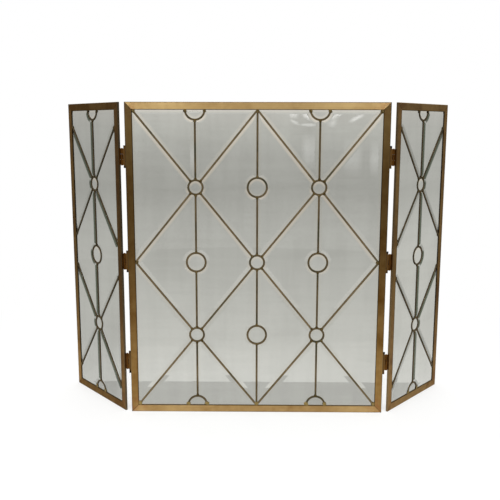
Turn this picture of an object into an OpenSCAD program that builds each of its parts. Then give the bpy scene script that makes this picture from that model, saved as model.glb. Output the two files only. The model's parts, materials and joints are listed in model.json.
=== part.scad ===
// Three-panel fireplace screen: bevelled glass held in brass cames and rings, in mitred flat-bar frames.
// Millimetres. The screen stands on z = 0 and faces -Y. The origin is under the middle of the centre panel.

/* [Panels] */
// Height of all three panels
panel_h = 800; // [720:5:900]
// Width of the centre panel
centre_w = 656; // [600:2:720]
// Width of each wing
wing_w = 272; // [230:2:300]
// Angle that each wing is folded back from the centre panel's plane
wing_fold = 50; // [10:1:80]

/* [Frame bars] */
// Width of the flat bar, as seen from the front
bar_w = 19; // [15:0.5:25]
// Thickness of the flat bar
bar_t = 6; // [5.8:0.1:9]
// Width of the bar's eased edges
bar_ease = 0.8; // [0.3:0.1:1.1]
// Depth of the glazing groove in the bar's inner edge
groove_depth = 4; // [3:0.25:6]

/* [Cames and rings] */
// Width of the cames and of the rings' rims, as seen from the front
came_w = 5; // [4.2:0.1:6.5]
// Thickness of the cames' front and back flanges
came_flange = 1; // [0.8:0.05:1.2]
// Thickness of the web between the flanges
came_web = 1.2; // [1:0.1:1.8]
// Width of the cames' eased edges
came_ease = 0.4; // [0.1:0.05:0.6]
// Outer diameter of the small rings, where the diagonals cross
small_ring_d = 41; // [34:1:48]
// Outer diameter of the large rings and of the half rings
large_ring_d = 53; // [44:1:60]
// Rise of the wings' diagonals, from a small ring's middle to a stile
wing_rise = 150; // [135:1:160]

/* [Solder beads] */
// Diameter of the beads where cames and rings meet
bead_d = 6; // [4:0.2:7]
// Height of a bead above the came's face
bead_h = 0.45; // [0.2:0.05:0.5]

/* [Glass] */
// Thickness of the glass in its flat field
glass_t = 4; // [3.4:0.1:4.2]
// Thickness of the glass at its bevelled edge
glass_edge_t = 2.2; // [2:0.1:2.8]
// Width of the bevel along the straight edges, beyond the metal
bevel_w = 10; // [6:0.5:14]
// Width of the bevel round the rings and on the discs
ring_bevel_w = 8; // [3:0.5:10]

/* [Hinges] */
// Height of the hinges' knuckles together
hinge_h = 41; // [32:1:54]
// Height of the centre leaf where it meets the stile
leaf_root_h = 49; // [44:1:64]
// Thickness of the leaves' arms
arm_t = 2.5; // [1.8:0.1:3]
// Thickness of the leaves' feet on the stiles' edges
foot_t = 1.2; // [0.8:0.1:2]
// Outer diameter of the knuckles
knuckle_d = 6.5; // [5.6:0.1:8]
// Diameter of the hinge pins
pin_d = 3.4; // [2.6:0.1:4]
// Diameter of the pins' heads
pin_head_d = 5.4; // [4.6:0.1:5.6]
// Height of the pins' heads
pin_head_h = 1; // [0.6:0.1:1.6]
// Distance from the centre panel's edge to the hinge axis
hinge_reach = 9.5; // [7.5:0.25:14]
// Distance from the panels' back faces to the hinge axis behind them
axis_setback = 0.5; // [0.4:0.1:1.2]
// Height of the lowest hinge's middle above the floor
low_hinge_z = 136; // [80:2:180]
// Distance from the panels' top down to the highest hinge's middle
top_hinge_drop = 134; // [80:2:180]

/* [Clearances] */
// Gap between the glass and the metal that holds it
glass_gap = 0.3; // [0.2:0.05:0.4]
// Gap at a soldered joint, from metal to metal
joint_gap = 0.1; // [0.05:0.05:0.2]
// Gap between two knuckles, one above the other
knuckle_gap = 0.3; // [0.2:0.05:0.6]
// Gap between a knuckle and the other leaf as it swings past
swing_gap = 0.55; // [0.4:0.05:1]
// Radial running clearance of the pins in the knuckles
pin_fit = 0.05; // [0.02:0.01:0.1]

/* [Hidden] */
$fn = 96;
// The channel that takes the glass's edge is the same in the cames and in the frame bars.
channel_t = glass_edge_t + 2 * glass_gap;
came_t = channel_t + 2 * came_flange;
glass_back = glass_edge_t / 2;
glass_front = glass_t - glass_edge_t / 2;
// The lattice has four bays across the centre panel and four rows in every panel.
bays = 4;
rows = 4;
open_low = bar_w;
open_high = panel_h - bar_w;
open_h = open_high - open_low;
centre_half = centre_w / 2 - bar_w;
bay_w = 2 * centre_half / bays;
row_h = open_h / rows;
slope = row_h / bay_w;
// The wings are drawn flat beside the centre panel, with the hinge axis at x = 0.
axis_y = bar_t / 2 + axis_setback;
wing_start = knuckle_d / 2 + swing_gap + foot_t;
wing_mid = wing_start + wing_w / 2;
wing_half = wing_w / 2 - bar_w;
// A cut runs this far past the surface that it cuts.
over = 1;

antique_brass = [0.55, 0.44, 0.28];
dark_brass = [0.36, 0.29, 0.19];
solder_bronze = [0.38, 0.33, 0.24];
hinge_brass = [0.33, 0.24, 0.14];
pin_brass = [0.45, 0.36, 0.22];
clear_glass = [0.78, 0.82, 0.8, 0.45];

// Lattice points of the centre panel, by bay from the left and row from the top
function centre_point(bay, row) = [bay * bay_w - centre_half, open_high - row * row_h];
// Lattice points of a wing: side -1 is the inner stile, 0 the middle and 1 the outer stile
function wing_point(side, z) = [wing_mid + side * wing_half, z];
function row_z(row) = open_high - row * row_h;

// Ring centres, as [x, z] in their panel
centre_small = [for (p = [[1, 1], [3, 1], [2, 2], [1, 3], [3, 3]]) centre_point(p[0], p[1])];
centre_large = [for (p = [[2, 1], [1, 2], [3, 2], [2, 3]]) centre_point(p[0], p[1])];
centre_halved = [for (p = [[1, 0], [3, 0], [1, rows], [3, rows]]) centre_point(p[0], p[1])];
wing_small = [for (row = [1, 3]) wing_point(0, row_z(row))];
wing_large = [wing_point(0, row_z(2))];
wing_halved = [for (row = [0, rows]) wing_point(0, row_z(row))];

// Runs of came, as [start, end]; the rings cut them into lengths
centre_diagonals = [
    for (run = [
        [[0, 0], [4, 4]], [[4, 0], [0, 4]],
        [[2, 0], [0, 2]], [[0, 2], [2, 4]], [[2, 0], [4, 2]], [[4, 2], [2, 4]]
    ])
        [centre_point(run[0][0], run[0][1]), centre_point(run[1][0], run[1][1])]
];
centre_verticals = [for (bay = [1:3]) [centre_point(bay, 0), centre_point(bay, rows)]];
wing_diagonals = [
    for (row = [1, 3])
        for (lean = [-1, 1])
            [wing_point(-1, row_z(row) - lean * wing_rise), wing_point(1, row_z(row) + lean * wing_rise)]
];
wing_verticals = [[wing_point(0, open_high), wing_point(0, open_low)]];

// Glass outlines run anticlockwise, as [points, edges]; an edge is 1 in a came and 0 in the frame's groove
centre_top_cells = [
    [[centre_point(0, 0), centre_point(1, 1), centre_point(1, 0)], [1, 1, 0]],
    [[centre_point(1, 0), centre_point(1, 1), centre_point(2, 0)], [1, 1, 0]]
];
centre_bottom_cells = [
    [[centre_point(0, 4), centre_point(1, 4), centre_point(1, 3)], [0, 1, 1]],
    [[centre_point(1, 4), centre_point(2, 4), centre_point(1, 3)], [0, 1, 1]]
];
centre_side_cells = [
    [[centre_point(0, 0), centre_point(0, 2), centre_point(1, 1)], [0, 1, 1]],
    [[centre_point(0, 2), centre_point(0, 4), centre_point(1, 3)], [0, 1, 1]]
];
centre_diamond_cells = [
    [[centre_point(0, 2), centre_point(1, 3), centre_point(1, 1)], [1, 1, 1]],
    [[centre_point(1, 1), centre_point(1, 3), centre_point(2, 2)], [1, 1, 1]],
    [[centre_point(1, 1), centre_point(2, 2), centre_point(2, 0)], [1, 1, 1]],
    [[centre_point(1, 3), centre_point(2, 4), centre_point(2, 2)], [1, 1, 1]]
];
wing_top_cells = [
    [[wing_point(-1, open_high), wing_point(-1, row_z(1) + wing_rise),
      wing_point(0, row_z(1)), wing_point(0, open_high)], [0, 1, 1, 0]]
];
wing_side_cells = [
    for (row = [1, 3])
        [[wing_point(-1, row_z(row) + wing_rise), wing_point(-1, row_z(row) - wing_rise),
          wing_point(0, row_z(row))], [0, 1, 1]]
];
wing_middle_cells = [
    [[wing_point(-1, row_z(1) - wing_rise), wing_point(-1, row_z(3) + wing_rise),
      wing_point(0, row_z(3)), wing_point(0, row_z(1))], [0, 1, 1, 1]]
];
wing_bottom_cells = [
    [[wing_point(-1, row_z(3) - wing_rise), wing_point(-1, open_low),
      wing_point(0, open_low), wing_point(0, row_z(3))], [0, 0, 1, 1]]
];

// Where two lines meet, each given by a point and a direction
function meet(p, d, q, e) = p + d * cross(q - p, e) / cross(d, e);
// The unit direction into an outline from its edge between two points
function inward(p, q) = [p[1] - q[1], q[0] - p[0]] / norm(q - p);
// An outline with each edge moved inwards by its own distance
function inset(points, distances) = [
    for (i = [0:len(points) - 1])
        let (
            n = len(points),
            before = (i + n - 1) % n,
            after = (i + 1) % n,
            p = points[i],
            d = p - points[before],
            e = points[after] - p
        )
            meet(p + inward(points[before], p) * distances[before], d,
                 p + inward(p, points[after]) * distances[i], e)
];
edge_inset = [glass_gap - groove_depth, came_web / 2 + glass_gap];
// Distance from a lattice line to the metal's edge that the bevel starts from
bevel_start = [0, came_w / 2];

// A flat shape drawn in x and z, from front to back in y
module slab(front, back) {
    translate([0, back, 0])
        rotate([90, 0, 0])
            linear_extrude(back - front)
                children();
}

// A shape turned about an axis along y through a point of the panel; the profile's height points to the front
module turned(centre) {
    translate([centre[0], 0, centre[1]])
        rotate([90, 0, 0])
            rotate_extrude()
                children();
}

// A straight length from one point of the panel to another; the section's x points to the right of the run
module along(start, end) {
    run = end - start;
    translate([start[0], 0, start[1]])
        rotate([0, atan2(run[0], run[1]), 0])
            linear_extrude(norm(run))
                children();
}

module both_halves(middle) {
    children();
    translate([2 * middle, 0, 0])
        mirror([1, 0, 0])
            children();
}

// Section of the frame bar: outer edge at 0, inner edge with its groove at bar_w
module bar_section() {
    half = bar_t / 2;
    slot = channel_t / 2;
    polygon([
        [bar_ease, -half], [bar_w - bar_ease, -half], [bar_w, bar_ease - half],
        [bar_w, -slot], [bar_w - groove_depth, -slot], [bar_w - groove_depth, slot], [bar_w, slot],
        [bar_w, half - bar_ease], [bar_w - bar_ease, half], [bar_ease, half],
        [0, half - bar_ease], [0, bar_ease - half]
    ]);
}

// Section of the cames and rings: an H with eased edges
module came_section() {
    side = came_w / 2;
    half = came_t / 2;
    web = came_web / 2;
    slot = channel_t / 2;
    polygon([
        [came_ease - side, -half], [side - came_ease, -half], [side, came_ease - half],
        [side, -slot], [web, -slot], [web, slot], [side, slot],
        [side, half - came_ease], [side - came_ease, half], [came_ease - side, half],
        [-side, half - came_ease], [-side, slot], [-web, slot], [-web, -slot], [-side, -slot],
        [-side, came_ease - half]
    ]);
}

// One bar of a frame, mitred at both ends; the panel runs from x = 0 to its width
module mitred_bar(width, side) {
    outer = [[0, 0], [width, 0], [width, panel_h], [0, panel_h]];
    inner = inset(outer, [bar_w, bar_w, bar_w, bar_w]);
    next = (side + 1) % len(outer);
    intersection() {
        along(outer[side], outer[next])
            mirror([1, 0, 0])
                bar_section();
        slab(-bar_t, bar_t)
            polygon([outer[side], outer[next], inner[next], inner[side]]);
    }
}

// A frame bar of a panel: 0 is the bottom rail, 1 the right stile, 2 the top rail and 3 the left stile
module centre_bar(side) {
    color(antique_brass)
        translate([-centre_w / 2, 0, 0])
            mitred_bar(centre_w, side);
}

module wing_bar(side) {
    color(antique_brass)
        translate([wing_start, 0, 0])
            mitred_bar(wing_w, side);
}

// The space inside a panel's frame, less the joint gap
module opening(middle, half) {
    slab(-bar_t, bar_t)
        translate([middle - half + joint_gap, open_low + joint_gap])
            square([2 * (half - joint_gap), open_h - 2 * joint_gap]);
}

// What the rings take from the cames that end at them
module ring_bites(points, diameter) {
    for (p = points)
        translate([p[0], bar_t, p[1]])
            rotate([90, 0, 0])
                cylinder(h = 2 * bar_t, d = diameter + 2 * joint_gap);
}

module all_ring_bites(small, large, halved) {
    ring_bites(small, small_ring_d);
    ring_bites(concat(large, halved), large_ring_d);
}

module vertical_cames(runs, small, large, halved, middle, half) {
    color(dark_brass)
        intersection() {
            difference() {
                for (run = runs) along(run[0], run[1]) came_section();
                all_ring_bites(small, large, halved);
            }
            opening(middle, half);
        }
}

// Diagonals stop at the rings, at the upright cames and, where two meet on a stile, at each other
module diagonal_cames(runs, small, verticals, middle, half) {
    color(dark_brass)
        intersection() {
            difference() {
                for (run = runs) {
                    overrun = (run[1] - run[0]) / norm(run[1] - run[0]) * came_w;
                    along(run[0] - overrun, run[1] + overrun) came_section();
                }
                ring_bites(small, small_ring_d);
                slab(-bar_t, bar_t)
                    for (run = verticals)
                        translate([run[0][0] - came_w / 2 - joint_gap, 0])
                            square([came_w + 2 * joint_gap, panel_h]);
                slab(-bar_t, bar_t)
                    translate([middle - half, row_z(2) - joint_gap / 2])
                        square([2 * half, joint_gap]);
            }
            opening(middle, half);
        }
}

module rings(points, diameter) {
    color(dark_brass)
        for (p = points)
            turned(p) translate([(diameter - came_w) / 2, 0]) came_section();
}

module half_rings(points, middle, half) {
    intersection() {
        rings(points, large_ring_d);
        opening(middle, half);
    }
}

// A bevel's slope runs on past the glass's face, to where its cutter ends
cut_top = glass_front + over;
slope_run = (cut_top - glass_back) / (glass_front - glass_back);
// What a straight bevel takes off; the panel's glass lies to the left of the edge from start to end
module edge_bevel(start, end, metal, width) {
    outside = groove_depth + over;
    overrun = (end - start) / norm(end - start) * outside;
    along(start - overrun, end + overrun)
        rotate(180)
            polygon([
                [-outside, cut_top], [-outside, glass_back],
                [metal, glass_back], [metal + width * slope_run, cut_top]
            ]);
}

// True where the cell has a frame edge along x (axis 0) or z (axis 1) at this place
function framed(cell, axis, place) =
    let (points = cell[0], n = len(points))
        len([
            for (i = [0:n - 1])
                if (cell[1][i] == 0 && points[i][axis] == place && points[(i + 1) % n][axis] == place) i
        ]) > 0;

// How far the glass may reach on one side of its cell: into the groove, or short of the web
function limit(cell, axis, place, way) = place - way * edge_inset[framed(cell, axis, place) ? 0 : 1];

// One pane: its outline let into cames and groove, with a bevel along each straight edge
module pane(cell) {
    points = cell[0];
    kinds = cell[1];
    outline = inset(points, [for (kind = kinds) edge_inset[kind]]);
    xs = [for (p = points) p[0]];
    zs = [for (p = points) p[1]];
    low = [limit(cell, 0, min(xs), -1), limit(cell, 1, min(zs), -1)];
    high = [limit(cell, 0, max(xs), 1), limit(cell, 1, max(zs), 1)];
    difference() {
        intersection() {
            slab(-glass_front, glass_back) polygon(outline);
            slab(-bar_t, bar_t) translate(low) square(high - low);
        }
        for (i = [0:len(points) - 1])
            edge_bevel(points[i], points[(i + 1) % len(points)], bevel_start[kinds[i]], bevel_w);
    }
}

// What a ring takes from the panes round it: the hole for its rim, and the bevel round that
module ring_seats(points, diameter) {
    rim = diameter / 2;
    hole = rim - came_w / 2 + came_web / 2 + glass_gap;
    for (p = points)
        turned(p)
            polygon([
                [0, -glass_back - over], [hole, -glass_back - over], [hole, glass_back],
                [rim, glass_back], [rim + ring_bevel_w * slope_run, cut_top], [0, cut_top]
            ]);
}

module panes(cells, middle, small, large) {
    color(clear_glass)
        difference() {
            both_halves(middle)
                for (cell = cells) pane(cell);
            ring_seats(small, small_ring_d);
            ring_seats(large, large_ring_d);
        }
}

// The round pane in a ring
module discs(points, diameter) {
    rim = diameter / 2 - came_w;
    edge = rim + (came_w - came_web) / 2 - glass_gap;
    color(clear_glass)
        for (p = points)
            turned(p)
                polygon([
                    [0, -glass_back], [edge, -glass_back], [edge, glass_back], [rim, glass_back],
                    [rim - ring_bevel_w, glass_front], [0, glass_front]
                ]);
}

// The half-round panes stand in the rails' grooves and are bevelled along the rail too
module half_discs(points, middle, half) {
    depth = groove_depth - glass_gap;
    low = [[middle - half, open_low], [middle + half, open_low]];
    high = [[middle + half, open_high], [middle - half, open_high]];
    difference() {
        intersection() {
            discs(points, large_ring_d);
            slab(-bar_t, bar_t)
                translate([middle - half, open_low - depth])
                    square([2 * half, open_h + 2 * depth]);
        }
        for (edge = [low, high])
            edge_bevel(edge[0], edge[1], 0, ring_bevel_w);
    }
}

// Domed beads of solder on both faces, at the places given
module beads(places) {
    foot = bead_d / 2;
    color(solder_bronze)
        for (p = places)
            for (face = [-1, 1])
                turned(p)
                    scale([1, face])
                        translate([0, came_t / 2])
                            polygon([
                                [0, 0], [foot, 0], [0.85 * foot, 0.45 * bead_h],
                                [0.6 * foot, 0.8 * bead_h], [0.3 * foot, bead_h], [0, bead_h]
                            ]);
}

// Places round a ring where cames reach it, at angles from the panel's x axis
function round_ring(centre, diameter, angles) = [
    for (a = angles) centre + diameter / 2 * [cos(a), sin(a)]
];
uprights = [90, -90];
centre_lean = atan(slope);
wing_lean = atan(wing_rise / wing_half);
function crossings(lean) = concat(uprights, [lean, -lean, 180 - lean, 180 + lean]);
bead_back = bead_d / 2 + joint_gap;
foot_back = (large_ring_d - came_w) / 2;
// Places beside the frame: where a run of came meets it, and at the feet of the half rings
function run_end(from, to) =
    let (way = (to - from) / norm(to - from))
        from + way * bead_back / min(abs(way[0]), abs(way[1]));
function run_ends(run) = [run_end(run[0], run[1]), run_end(run[1], run[0])];
function half_ring_beads(p) =
    let (up = p[1] < panel_h / 2 ? 1 : -1)
        [
            p + [0, up * large_ring_d / 2],
            p + [foot_back, up * bead_back],
            p + [-foot_back, up * bead_back]
        ];

centre_bead_places = [
    for (p = centre_small) each round_ring(p, small_ring_d, crossings(centre_lean)),
    for (p = centre_large) each round_ring(p, large_ring_d, uprights),
    for (p = centre_halved) each half_ring_beads(p),
    for (run = [centre_diagonals[0], centre_diagonals[1]]) each run_ends(run),
    for (z = [open_high - bead_back, open_low + bead_back]) [0, z],
    for (side = [-1, 1]) [side * (centre_half - bead_back), row_z(2)]
];
wing_bead_places = [
    for (p = wing_small) each round_ring(p, small_ring_d, crossings(wing_lean)),
    for (p = wing_large) each round_ring(p, large_ring_d, uprights),
    for (p = wing_halved) each half_ring_beads(p),
    for (run = wing_diagonals) each run_ends(run)
];

// Hinges are drawn for the right side, with the hinge axis at the origin and z at the hinge's middle
knuckle_h = (hinge_h - 2 * knuckle_gap) / 3;
arm_y = bar_t / 2 - axis_y - arm_t;
foot_y = -bar_t / 2 - axis_y + bar_ease;
foot_w = bar_t - 2 * bar_ease;

module knuckle(level) {
    translate([0, 0, level * (knuckle_h + knuckle_gap) - knuckle_h / 2])
        cylinder(h = knuckle_h, d = knuckle_d);
}

module knuckle_bore() {
    translate([0, 0, -hinge_h])
        cylinder(h = 2 * hinge_h, d = pin_d + 2 * pin_fit);
}

// The centre leaf's arm widens to its foot, and carries the upper and lower knuckles
module centre_leaf() {
    arm_end = knuckle_d / 2 + swing_gap;
    difference() {
        union() {
            translate([-hinge_reach, foot_y, -leaf_root_h / 2])
                cube([foot_t, foot_w, leaf_root_h]);
            slab(arm_y, arm_y + arm_t)
                polygon([
                    [-hinge_reach, -leaf_root_h / 2], [-arm_end, -hinge_h / 2],
                    [-arm_end, hinge_h / 2], [-hinge_reach, leaf_root_h / 2]
                ]);
            for (level = [-1, 1]) {
                knuckle(level);
                translate([-arm_end - foot_t, arm_y, level * (knuckle_h + knuckle_gap) - knuckle_h / 2])
                    cube([arm_end + foot_t, arm_t, knuckle_h]);
            }
        }
        knuckle_bore();
    }
}

// The wing leaf is a foot on the wing's edge with the middle knuckle
module wing_leaf() {
    foot_start = wing_start - foot_t;
    difference() {
        union() {
            translate([foot_start, foot_y, -hinge_h / 2])
                cube([foot_t, foot_w, hinge_h]);
            knuckle(0);
            translate([0, arm_y, -knuckle_h / 2])
                cube([foot_start + foot_t / 2, arm_t, knuckle_h]);
        }
        knuckle_bore();
    }
}

// The pin has a head above the top knuckle and is peened over under the lowest
module hinge_pin() {
    shaft = pin_d / 2;
    head = pin_head_d / 2;
    crown = pin_head_h / 2;
    rotate_extrude()
        polygon([
            [0, -hinge_h / 2 - pin_head_h], [head - crown, -hinge_h / 2 - pin_head_h],
            [head, -hinge_h / 2 - crown], [head, -hinge_h / 2], [shaft, -hinge_h / 2],
            [shaft, hinge_h / 2], [head, hinge_h / 2], [head, hinge_h / 2 + crown],
            [head - crown, hinge_h / 2 + pin_head_h], [0, hinge_h / 2 + pin_head_h]
        ]);
}

module at_hinges() {
    middle_z = (low_hinge_z + panel_h - top_hinge_drop) / 2;
    for (z = [low_hinge_z, middle_z, panel_h - top_hinge_drop])
        translate([0, axis_y, z])
            children();
}

// The right hinge axis stands at the centre panel's right edge, and a wing turns back about it
module at_right_axis() {
    translate([centre_w / 2 + hinge_reach, 0, 0])
        children();
}

module right_wing() {
    at_right_axis()
        translate([0, axis_y, 0])
            rotate([0, 0, wing_fold])
                translate([0, -axis_y, 0])
                    children();
}

module left_side() {
    mirror([1, 0, 0])
        children();
}

module centre_panes(cells) {
    panes(cells, 0, centre_small, concat(centre_large, centre_halved));
}

module wing_panes(cells) {
    panes(cells, wing_mid, wing_small, concat(wing_large, wing_halved));
}

module wing_vertical_cames() {
    vertical_cames(wing_verticals, wing_small, wing_large, wing_halved, wing_mid, wing_half);
}

module wing_diagonal_cames() {
    diagonal_cames(wing_diagonals, wing_small, wing_verticals, wing_mid, wing_half);
}

module wing_half_rings() {
    half_rings(wing_halved, wing_mid, wing_half);
}

module wing_half_discs() {
    half_discs(wing_halved, wing_mid, wing_half);
}

module hinge_centre_leaves() {
    color(hinge_brass)
        at_right_axis()
            at_hinges()
                centre_leaf();
}

module hinge_wing_leaves() {
    color(hinge_brass)
        at_hinges()
            wing_leaf();
}

module hinge_pins() {
    color(pin_brass)
        at_right_axis()
            at_hinges()
                hinge_pin();
}

centre_bar(2);  // centre_top_rail
centre_bar(0);  // centre_bottom_rail
centre_bar(3);  // centre_left_stile
centre_bar(1);  // centre_right_stile
vertical_cames(centre_verticals, centre_small, centre_large, centre_halved, 0, centre_half);  // centre_vertical_cames
diagonal_cames(centre_diagonals, centre_small, centre_verticals, 0, centre_half);  // centre_diagonal_cames
rings(centre_small, small_ring_d);  // centre_small_rings
rings(centre_large, large_ring_d);  // centre_large_rings
half_rings(centre_halved, 0, centre_half);  // centre_half_rings
beads(centre_bead_places);  // centre_solder_beads
centre_panes(centre_top_cells);  // centre_top_glass
centre_panes(centre_side_cells);  // centre_side_glass
centre_panes(centre_diamond_cells);  // centre_diamond_glass
centre_panes(centre_bottom_cells);  // centre_bottom_glass
discs(centre_small, small_ring_d);  // centre_small_discs
discs(centre_large, large_ring_d);  // centre_large_discs
half_discs(centre_halved, 0, centre_half);  // centre_half_discs

left_side() right_wing() wing_bar(2);  // left_top_rail
left_side() right_wing() wing_bar(0);  // left_bottom_rail
left_side() right_wing() wing_bar(3);  // left_inner_stile
left_side() right_wing() wing_bar(1);  // left_outer_stile
left_side() right_wing() wing_vertical_cames();  // left_vertical_cames
left_side() right_wing() wing_diagonal_cames();  // left_diagonal_cames
left_side() right_wing() rings(wing_small, small_ring_d);  // left_small_rings
left_side() right_wing() rings(wing_large, large_ring_d);  // left_large_ring
left_side() right_wing() wing_half_rings();  // left_half_rings
left_side() right_wing() beads(wing_bead_places);  // left_solder_beads
left_side() right_wing() wing_panes(wing_top_cells);  // left_top_glass
left_side() right_wing() wing_panes(wing_side_cells);  // left_side_glass
left_side() right_wing() wing_panes(wing_middle_cells);  // left_middle_glass
left_side() right_wing() wing_panes(wing_bottom_cells);  // left_bottom_glass
left_side() right_wing() discs(wing_small, small_ring_d);  // left_small_discs
left_side() right_wing() discs(wing_large, large_ring_d);  // left_large_disc
left_side() right_wing() wing_half_discs();  // left_half_discs

right_wing() wing_bar(2);  // right_top_rail
right_wing() wing_bar(0);  // right_bottom_rail
right_wing() wing_bar(3);  // right_inner_stile
right_wing() wing_bar(1);  // right_outer_stile
right_wing() wing_vertical_cames();  // right_vertical_cames
right_wing() wing_diagonal_cames();  // right_diagonal_cames
right_wing() rings(wing_small, small_ring_d);  // right_small_rings
right_wing() rings(wing_large, large_ring_d);  // right_large_ring
right_wing() wing_half_rings();  // right_half_rings
right_wing() beads(wing_bead_places);  // right_solder_beads
right_wing() wing_panes(wing_top_cells);  // right_top_glass
right_wing() wing_panes(wing_side_cells);  // right_side_glass
right_wing() wing_panes(wing_middle_cells);  // right_middle_glass
right_wing() wing_panes(wing_bottom_cells);  // right_bottom_glass
right_wing() discs(wing_small, small_ring_d);  // right_small_discs
right_wing() discs(wing_large, large_ring_d);  // right_large_disc
right_wing() wing_half_discs();  // right_half_discs

left_side() hinge_centre_leaves();  // left_hinge_centre_leaves
left_side() right_wing() hinge_wing_leaves();  // left_hinge_wing_leaves
left_side() hinge_pins();  // left_hinge_pins
hinge_centre_leaves();  // right_hinge_centre_leaves
right_wing() hinge_wing_leaves();  // right_hinge_wing_leaves
hinge_pins();  // right_hinge_pins
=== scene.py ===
import json
import math
import random

import bpy
from mathutils import Matrix, Vector


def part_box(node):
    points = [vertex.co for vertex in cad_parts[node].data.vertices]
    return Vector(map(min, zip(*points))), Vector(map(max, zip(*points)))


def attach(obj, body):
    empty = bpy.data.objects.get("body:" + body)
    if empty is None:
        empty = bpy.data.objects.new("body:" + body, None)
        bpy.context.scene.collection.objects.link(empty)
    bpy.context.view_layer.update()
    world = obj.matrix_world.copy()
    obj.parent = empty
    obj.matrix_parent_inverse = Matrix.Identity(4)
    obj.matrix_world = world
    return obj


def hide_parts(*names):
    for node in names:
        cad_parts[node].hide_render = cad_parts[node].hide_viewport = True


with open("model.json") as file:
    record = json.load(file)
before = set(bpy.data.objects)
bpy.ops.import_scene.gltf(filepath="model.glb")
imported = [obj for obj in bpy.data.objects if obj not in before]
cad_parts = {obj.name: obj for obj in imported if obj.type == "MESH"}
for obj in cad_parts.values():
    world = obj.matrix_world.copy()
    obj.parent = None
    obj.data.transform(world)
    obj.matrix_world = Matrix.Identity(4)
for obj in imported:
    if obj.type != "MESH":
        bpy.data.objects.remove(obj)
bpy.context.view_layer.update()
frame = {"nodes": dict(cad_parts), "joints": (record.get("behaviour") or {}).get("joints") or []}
nodes = frame["nodes"]
print("frame loaded:", len(nodes), "pieces of the screen")


# The camera stands where the photograph was taken from, a little lower than the screen's top.
cameraSet = {
    "place": (-0.0006, -1.802, 0.741),
    "pitch": 9.73,  # degrees down
    "turn": 0.55,  # degrees to the left
    "roll": 0.12,
    "lens": 51.9,
    "near": 0.05,
}


def standCamera(s):
    data = bpy.data.cameras.new("screenCamera")
    data.lens = s["lens"]
    data.clip_start = s["near"]
    camera = bpy.data.objects.new("screenCamera", data)
    bpy.context.scene.collection.objects.link(camera)
    tilt = Matrix.Rotation(math.radians(90 - s["pitch"]), 4, "X")
    turn = Matrix.Rotation(math.radians(s["turn"]), 4, "Z")
    roll = Matrix.Rotation(math.radians(s["roll"]), 4, "Z")
    camera.matrix_world = Matrix.Translation(s["place"]) @ turn @ tilt @ roll
    bpy.context.scene.camera = camera


standCamera(cameraSet)
print("camera stood")


# Each panel has a flat frame of its own: x along it, y through it and z up, from its middle on the floor.
panelSet = {
    "height": 0.800,
    "centreHalf": 0.328,
    "wingHalf": 0.136,
    "wingGap": 0.005,  # from a hinge line to its wing
    "wingFold": math.radians(50),
    "hingeBack": 0.0035,  # the hinge lines lie this far behind the middle of the centre panel
}


def panelFrame(body, joint, outward, s):
    half = s["centreHalf"]
    turn = outward * s["wingFold"]
    matrix = Matrix.Identity(4)
    if joint:
        hinge = next(Vector(j["pos_m"]) for j in frame["joints"] if j["name"] == joint)
        half = s["wingHalf"]
        fromHinge = Vector((outward * (s["wingGap"] + half), -s["hingeBack"], 0))
        matrix = Matrix.Translation((hinge.x, hinge.y, 0)) @ Matrix.Rotation(turn, 4, "Z")
        matrix = matrix @ Matrix.Translation(fromHinge)
    return {"body": body, "matrix": matrix, "half": half, "turn": turn, "outward": outward}


panels = {
    "centre": panelFrame("centre_panel", None, 0, panelSet),
    "left": panelFrame("left_wing", "left_wing_hinge", -1, panelSet),
    "right": panelFrame("right_wing", "right_wing_hinge", 1, panelSet),
}


# Shader maths: an expression on signals adds the Math nodes for it.
class Signal:
    def __init__(self, sheet, socket):
        self.sheet = sheet
        self.socket = socket

    def math(self, operation, first, second=0.0):
        return self.sheet.node("Math", {"operation": operation}, {0: first, 1: second})

    def __add__(self, other):
        return self.math("ADD", self, other)

    def __sub__(self, other):
        return self.math("SUBTRACT", self, other)

    def __rsub__(self, other):
        return self.math("SUBTRACT", other, self)

    def __mul__(self, other):
        return self.math("MULTIPLY", self, other)

    def __truediv__(self, other):
        return self.math("DIVIDE", self, other)

    def __neg__(self):
        return 0.0 - self

    def __abs__(self):
        return self.math("ABSOLUTE", self)

    __radd__ = __add__
    __rmul__ = __mul__

    def root(self):
        return self.math("SQRT", self)

    def least(self, other):
        return self.math("MINIMUM", self, other)

    def most(self, other):
        return self.math("MAXIMUM", self, other)

    def kept(self):  # between 0 and 1
        return self.most(0.0).least(1.0)

    def ramp(self, low, high):  # 0 at low, 1 at high, smooth between
        if low > high:
            return 1.0 - self.ramp(high, low)
        settings = {"interpolation_type": "SMOOTHSTEP"}
        return self.sheet.node("MapRange", settings, {0: self, 1: low, 2: high, 3: 0.0, 4: 1.0})


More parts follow.
